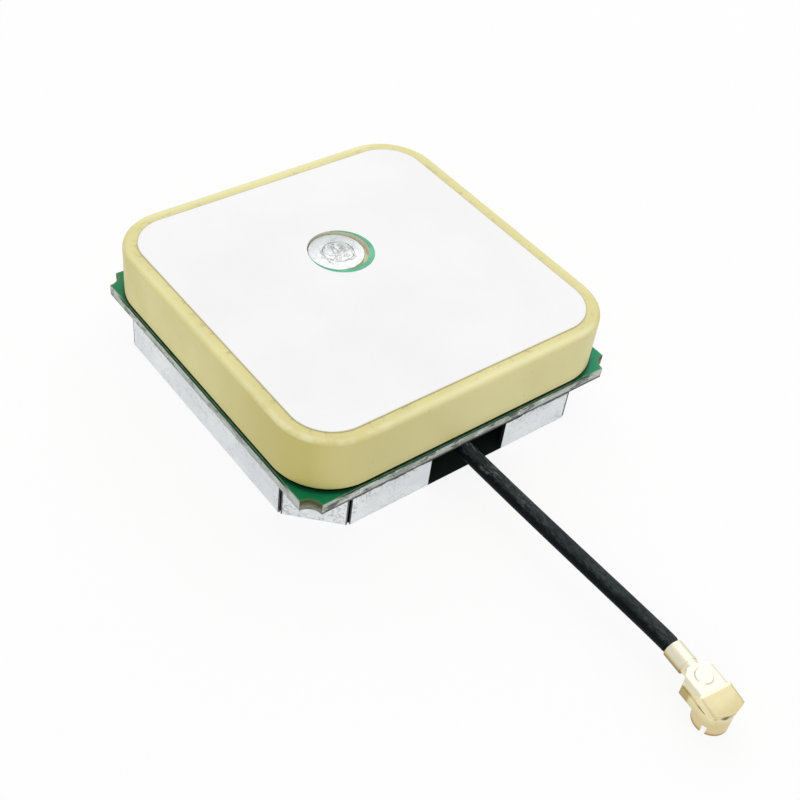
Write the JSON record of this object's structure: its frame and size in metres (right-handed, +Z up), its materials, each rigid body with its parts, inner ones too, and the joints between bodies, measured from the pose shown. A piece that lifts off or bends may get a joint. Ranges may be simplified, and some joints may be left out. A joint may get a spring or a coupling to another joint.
{
  "type": "satellite positioning antenna module",
  "caption": "Square ceramic patch antenna with a silver top print and feed pin on a small board, a folded shield can below and a short coaxial lead with a snap plug.",
  "frame": {"origin": "middle of the can's flat floor, which the module stands on", "axes": "+Z up through the patch, the lead leaves along -Y, +X to the right seen from the lead's side"},
  "size_m": [0.025, 0.0481, 0.008],
  "materials": {
    "tinned_sheet": "bright tinned sheet, fine rolled grain",
    "solder": "dull solder",
    "board_green": "green solder mask over glass-fibre laminate",
    "filter_body": "matt white ceramic package",
    "gilded": "thin gold plating, bright",
    "black_epoxy": "moulded epoxy",
    "capacitor_body": "matt tan ceramic",
    "inductor_body": "matt blue-grey ceramic",
    "adhesive": "acrylic adhesive film",
    "silver_print": "fired silver paste, matt white",
    "ceramic": "dense cream-yellow ceramic, fine ground",
    "stop_green": "printed green solder stop",
    "pin_brass": "tinned brass",
    "jacket": "black extruded jacket, lightly scuffed",
    "insulation": "milky fluoropolymer",
    "copper_braid": "tinned copper"
  },
  "bodies": {
    "root": {"shield_can": "tinned_sheet", "ground_land": "solder", "can_solder": "solder", "circuit_board": "board_green", "saw_filter": "filter_body", "filter_lid": "gilded", "amplifier_chip": "black_epoxy", "amplifier_leads": "solder", "chip_capacitors": "capacitor_body", "chip_inductors": "inductor_body", "chip_resistors": "black_epoxy", "chip_terminals": "solder", "adhesive_film": "adhesive", "ground_print": "silver_print", "ceramic_patch": "ceramic", "top_print": "silver_print", "stop_ring": "stop_green", "feed_pin": "pin_brass", "feed_button": "solder", "pin_solder": "solder", "lead_jacket": "jacket", "lead_braid": "copper_braid", "lead_core": "insulation", "lead_wire": "copper_braid", "braid_solder": "solder", "wire_solder": "solder", "plug_shell": "gilded", "plug_insulator": "insulation", "plug_contact": "gilded"}
  },
  "joints": []
}
